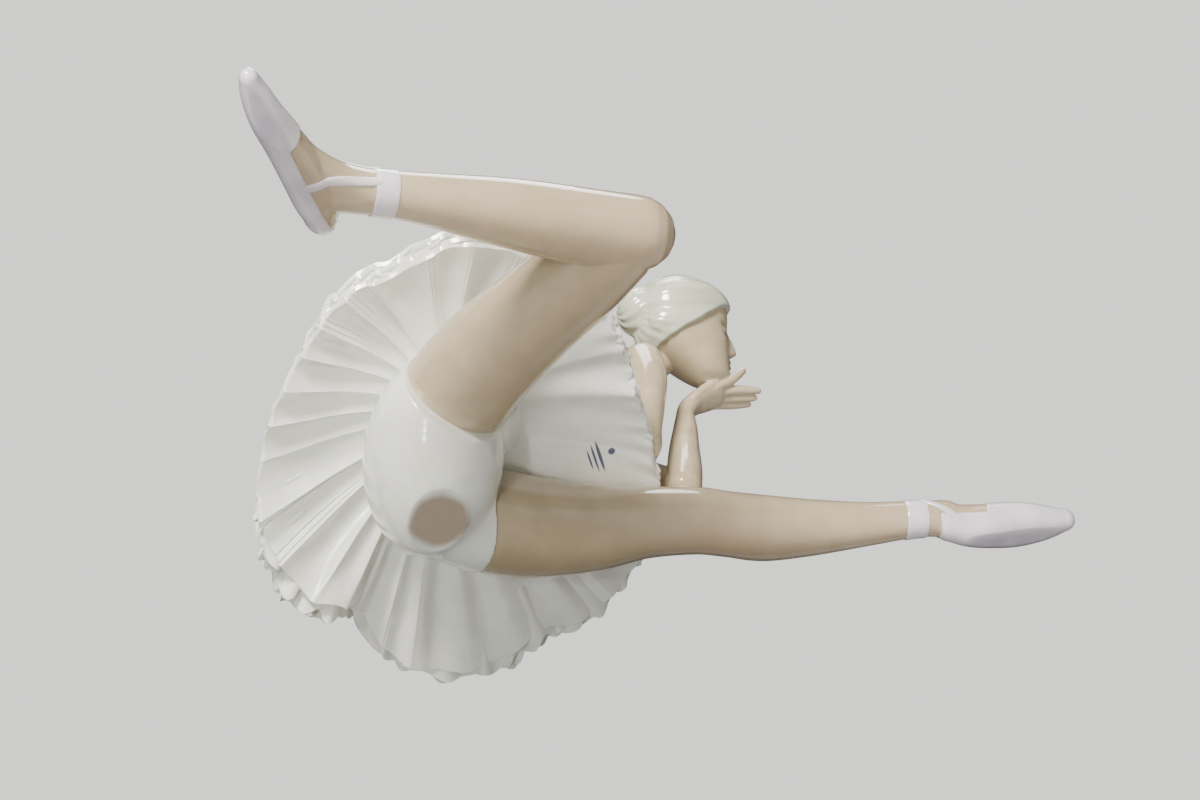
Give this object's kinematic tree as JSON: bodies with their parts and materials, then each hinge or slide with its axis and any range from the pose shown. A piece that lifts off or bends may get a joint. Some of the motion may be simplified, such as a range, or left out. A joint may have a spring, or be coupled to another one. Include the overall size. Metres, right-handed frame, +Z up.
{
  "type": "seated porcelain ballerina figurine",
  "caption": "Glazed porcelain dancer seated on one hip in a pleated tutu, one leg stretched and one folded back, chin resting on a hand; stands by its own weight.",
  "frame": {"origin": "centre of the unglazed seat spot, on the surface the figure sits on", "axes": "+X along the stretched left leg, +Y to the figure's left, +Z up"},
  "size_m": [0.2866, 0.2384, 0.1394],
  "materials": {
    "ballerina": "high gloss clear glaze over painted skin, lilac slippers and white dress"
  },
  "bodies": {
    "root": {"ballerina": "ballerina"}
  },
  "joints": []
}
